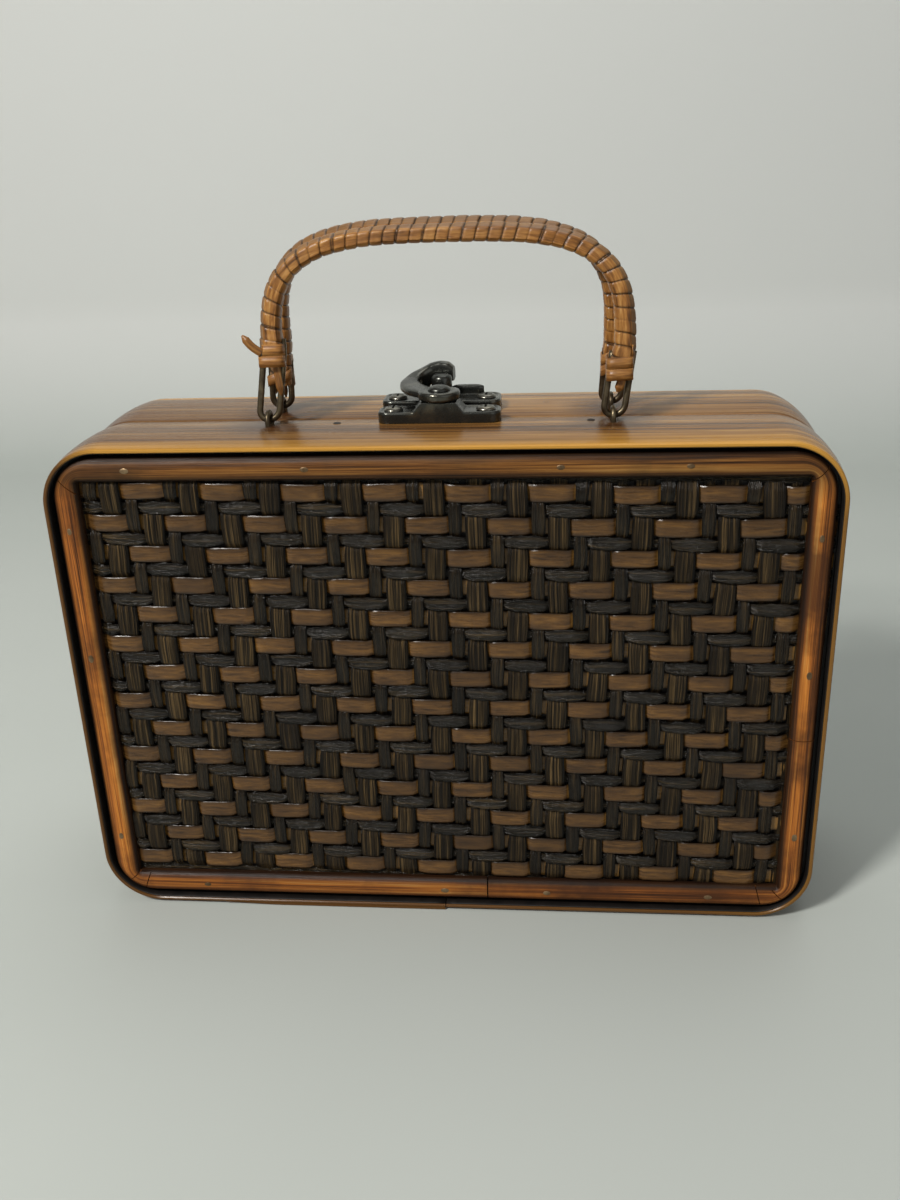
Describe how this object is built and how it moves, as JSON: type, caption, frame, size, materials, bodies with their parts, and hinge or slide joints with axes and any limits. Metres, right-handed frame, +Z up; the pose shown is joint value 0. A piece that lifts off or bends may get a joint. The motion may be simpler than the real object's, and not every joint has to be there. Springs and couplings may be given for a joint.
{
  "type": "basket box bag",
  "caption": "Hinged box handbag with bent bamboo rims, woven panels in half-round mouldings, a swing clasp on top and wrapped cane handles on wire loops.",
  "frame": {"origin": "on the floor under the middle of the closed box", "axes": "+X to the right across the front, +Y to the back, +Z up"},
  "size_m": [0.24, 0.069, 0.2237],
  "materials": {
    "bamboo": "satin",
    "weave": "satin",
    "cane": "satin",
    "batten": "matt",
    "wrap": "satin",
    "wire": "dull",
    "hinge": "dull",
    "clasp": "antique"
  },
  "bodies": {
    "back_half": {"back_rim_band": "bamboo", "back_woven_panel": "weave", "back_moulding": "cane", "back_batten_frame": "batten", "back_staples": "wire", "left_hinge_back_leaf": "hinge", "right_hinge_back_leaf": "hinge", "left_hinge_pin": "hinge", "right_hinge_pin": "hinge", "clasp_keeper_plate": "clasp", "clasp_keeper_screws": "clasp", "clasp_stud": "clasp"},
    "front_half": {"front_rim_band": "bamboo", "front_woven_panel": "weave", "front_moulding": "cane", "front_batten_frame": "batten", "front_staples": "wire", "left_hinge_front_leaf": "hinge", "right_hinge_front_leaf": "hinge", "clasp_base_plate": "clasp", "clasp_base_screws": "clasp", "clasp_rivet": "clasp"},
    "clasp_swing_arm": {"clasp_arm": "clasp"},
    "front_handle": {"front_handle_core": "batten", "front_handle_wrap": "wrap", "front_handle_left_loop": "wire", "front_handle_right_loop": "wire"},
    "back_handle": {"back_handle_core": "batten", "back_handle_wrap": "wrap", "back_handle_left_loop": "wire", "back_handle_right_loop": "wire"}
  },
  "joints": [
    {"name": "shell_opening", "type": "hinge", "parent": "back_half", "child": "front_half", "pos_m": [0, 0, 0.001], "axis": [1, 0, 0], "range_deg": [0, 145]},
    {"name": "clasp_arm_swing", "type": "hinge", "parent": "front_half", "child": "clasp_swing_arm", "pos_m": [0, -0.0055, 0.17], "axis": [0, 0, 1], "range_deg": [-12, 95]},
    {"name": "front_handle_swing", "type": "hinge", "parent": "front_half", "child": "front_handle", "pos_m": [0, -0.0095, 0.165], "axis": [1, 0, 0], "range_deg": [0, 74]},
    {"name": "back_handle_swing", "type": "hinge", "parent": "back_half", "child": "back_handle", "pos_m": [0, 0.0095, 0.165], "axis": [-1, 0, 0], "range_deg": [0, 74]}
  ]
}
